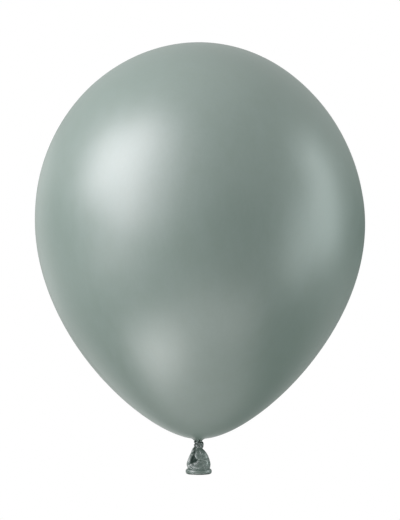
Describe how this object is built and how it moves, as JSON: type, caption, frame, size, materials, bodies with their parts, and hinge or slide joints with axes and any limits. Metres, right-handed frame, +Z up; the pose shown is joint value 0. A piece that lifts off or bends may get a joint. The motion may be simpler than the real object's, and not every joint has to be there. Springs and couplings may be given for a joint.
{
  "type": "party balloon",
  "caption": "Inflated teardrop latex party balloon, closed by an overhand knot in its neck, with a soft flared tail that ends in a rolled rim.",
  "frame": {"origin": "on the balloon's axis at its neck, between the inflated envelope and the knot", "axes": "+Z up the balloon to its crown, +X to the right as seen in the picture, -Y towards the camera"},
  "size_m": [0.3, 0.3, 0.3936],
  "materials": {
    "stretched_latex": "pearlescent satin, stretched thin",
    "thick_latex": "glossy, unstretched"
  },
  "bodies": {
    "balloon": {"envelope": "stretched_latex", "neck": "thick_latex", "knot": "thick_latex"},
    "tail_end": {"tail": "thick_latex", "lip": "thick_latex"}
  },
  "joints": [
    {"name": "tail_flop", "type": "hinge", "parent": "balloon", "child": "tail_end", "pos_m": [-0.002, 0, -0.008], "axis": [1, 0, 0], "range_deg": [-40, 40], "stiffness_Nm_per_rad": 0.00125}
  ]
}
